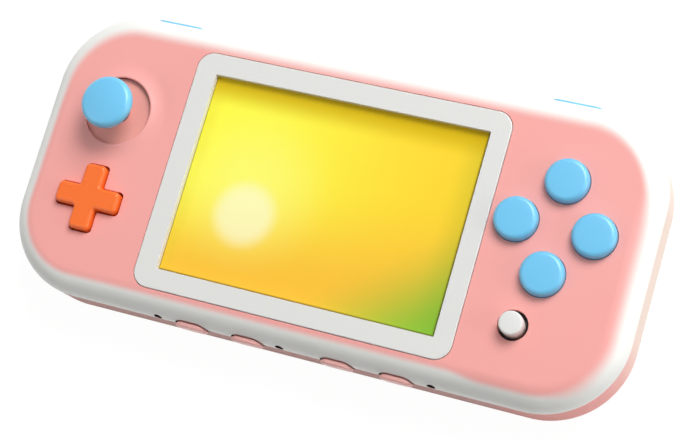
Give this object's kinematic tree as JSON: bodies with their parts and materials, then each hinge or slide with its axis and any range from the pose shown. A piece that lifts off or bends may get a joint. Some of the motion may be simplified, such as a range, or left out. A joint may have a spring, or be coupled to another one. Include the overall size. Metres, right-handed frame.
{
  "type": "handheld game console",
  "caption": "Flat handheld game console with rounded corners, a framed screen, thumb stick, cross pad, round face buttons, small nub, edge and shoulder buttons.",
  "frame": {"origin": "centre of the casing's flat back", "axes": "+X to the right of the player, +Y from the lower edge to the shoulder edge, +Z out of the screen"},
  "size_m": [0.161, 0.076, 0.0296],
  "materials": {
    "shell_white": "moulded white plastic with the face sprayed pink, satin",
    "shell_pink": "moulded pink plastic, satin",
    "disc_pink": "moulded pink plastic, satin",
    "bezel_grey": "moulded pale grey plastic, fine satin",
    "screen": "lit display behind a clear cover",
    "diffuser": "white diffuser stack",
    "button_blue": "moulded sky blue plastic, semi gloss",
    "pad_orange": "moulded orange plastic, semi gloss",
    "nub_white": "moulded off-white plastic, satin",
    "edge_pink": "moulded pink plastic, satin",
    "steel": "bright stamped and turned steel",
    "black_plastic": "moulded black plastic",
    "rubber_grey": "moulded silicone rubber",
    "board_green": "solder mask over glass fibre board",
    "battery_foil": "aluminium foil pouch",
    "wire_red": "insulated wire and plug",
    "flex_amber": "polyimide flat flex"
  },
  "bodies": {
    "casing": {"front_shell": "shell_white", "rear_shell": "shell_pink", "screen_bezel": "bezel_grey", "lcd_panel": "screen", "lcd_backlight": "diffuser", "screen_bracket": "steel", "bracket_screws": "steel", "lcd_ribbon": "flex_amber", "main_board": "board_green", "processor_shield": "steel", "battery": "battery_foil", "battery_lead": "wire_red", "button_membrane": "rubber_grey", "dpad_membrane": "rubber_grey", "dpad_post": "black_plastic", "stick_module": "steel", "nub_module": "black_plastic", "shoulder_switches": "black_plastic", "edge_switches": "black_plastic", "speaker_left": "black_plastic", "speaker_right": "black_plastic", "microphone": "black_plastic", "charge_port": "steel", "case_screws": "steel"},
    "button_top": {"button_top": "button_blue"},
    "button_right": {"button_right": "button_blue"},
    "button_bottom": {"button_bottom": "button_blue"},
    "button_left": {"button_left": "button_blue"},
    "dpad_pivot": {"dpad_ball": "steel"},
    "dpad": {"dpad": "pad_orange"},
    "stick_gimbal": {"stick_rocker": "steel"},
    "stick": {"stick_shaft": "disc_pink", "stick_cap": "button_blue"},
    "dust_guide": {"dust_guide": "black_plastic"},
    "dust_disc": {"dust_disc": "disc_pink"},
    "nub_gimbal": {"nub_rocker": "steel"},
    "nub": {"nub_shaft": "black_plastic", "nub_cap": "nub_white"},
    "shoulder_left": {"shoulder_left": "button_blue"},
    "shoulder_right": {"shoulder_right": "button_blue"},
    "power_button": {"power_button": "edge_pink"},
    "select_button": {"select_button": "edge_pink"},
    "start_button": {"start_button": "edge_pink"},
    "menu_button": {"menu_button": "edge_pink"}
  },
  "joints": [
    {"name": "stick_tilt_x", "type": "hinge", "parent": "casing", "child": "stick_gimbal", "pos_m": [-0.0599, 0.0104, 0.013], "axis": [1, 0, 0], "range_deg": [-16, 16], "stiffness_Nm_per_rad": 0.02},
    {"name": "stick_tilt_y", "type": "hinge", "parent": "stick_gimbal", "child": "stick", "pos_m": [-0.0599, 0.0104, 0.013], "axis": [0, 1, 0], "range_deg": [-16, 16], "stiffness_Nm_per_rad": 0.02},
    {"name": "dust_slide_x", "type": "slide", "parent": "casing", "child": "dust_guide", "axis": [1, 0, 0], "range_m": [-0.00162, 0.00162]},
    {"name": "dust_slide_y", "type": "slide", "parent": "dust_guide", "child": "dust_disc", "axis": [0, 1, 0], "range_m": [-0.00162, 0.00162]},
    {"name": "nub_tilt_x", "type": "hinge", "parent": "casing", "child": "nub_gimbal", "pos_m": [0.05345, -0.01915, 0.014], "axis": [1, 0, 0], "range_deg": [-5, 5], "stiffness_Nm_per_rad": 0.01},
    {"name": "nub_tilt_y", "type": "hinge", "parent": "nub_gimbal", "child": "nub", "pos_m": [0.05345, -0.01915, 0.014], "axis": [0, 1, 0], "range_deg": [-5, 5], "stiffness_Nm_per_rad": 0.01},
    {"name": "dpad_rock_x", "type": "hinge", "parent": "casing", "child": "dpad_pivot", "pos_m": [-0.0603, -0.01305, 0.0165], "axis": [1, 0, 0], "range_deg": [-4, 4], "stiffness_Nm_per_rad": 0.1},
    {"name": "dpad_rock_y", "type": "hinge", "parent": "dpad_pivot", "child": "dpad", "pos_m": [-0.0603, -0.01305, 0.0165], "axis": [0, 1, 0], "range_deg": [-4, 4], "stiffness_Nm_per_rad": 0.1},
    {"name": "press_top", "type": "slide", "parent": "casing", "child": "button_top", "axis": [0, 0, -1], "range_m": [0, 0.0012], "stiffness_N_per_m": 600},
    {"name": "press_right", "type": "slide", "parent": "casing", "child": "button_right", "axis": [0, 0, -1], "range_m": [0, 0.0012], "stiffness_N_per_m": 600},
    {"name": "press_bottom", "type": "slide", "parent": "casing", "child": "button_bottom", "axis": [0, 0, -1], "range_m": [0, 0.0012], "stiffness_N_per_m": 600},
    {"name": "press_left", "type": "slide", "parent": "casing", "child": "button_left", "axis": [0, 0, -1], "range_m": [0, 0.0012], "stiffness_N_per_m": 600},
    {"name": "press_shoulder_left", "type": "slide", "parent": "casing", "child": "shoulder_left", "axis": [0, -1, 0], "range_m": [0, 0.0004], "stiffness_N_per_m": 1200},
    {"name": "press_shoulder_right", "type": "slide", "parent": "casing", "child": "shoulder_right", "axis": [0, -1, 0], "range_m": [0, 0.0004], "stiffness_N_per_m": 1200},
    {"name": "press_power", "type": "slide", "parent": "casing", "child": "power_button", "axis": [0, 1, 0], "range_m": [0, 0.0006], "stiffness_N_per_m": 1500},
    {"name": "press_select", "type": "slide", "parent": "casing", "child": "select_button", "axis": [0, 1, 0], "range_m": [0, 0.0006], "stiffness_N_per_m": 1500},
    {"name": "press_start", "type": "slide", "parent": "casing", "child": "start_button", "axis": [0, 1, 0], "range_m": [0, 0.0006], "stiffness_N_per_m": 1500},
    {"name": "press_menu", "type": "slide", "parent": "casing", "child": "menu_button", "axis": [0, 1, 0], "range_m": [0, 0.0006], "stiffness_N_per_m": 1500}
  ],
  "couplings": [
    {"joint": "dust_slide_x", "follows": "stick_tilt_y", "m_per_rad": 0.0058},
    {"joint": "dust_slide_y", "follows": "stick_tilt_x", "m_per_rad": -0.0058}
  ]
}
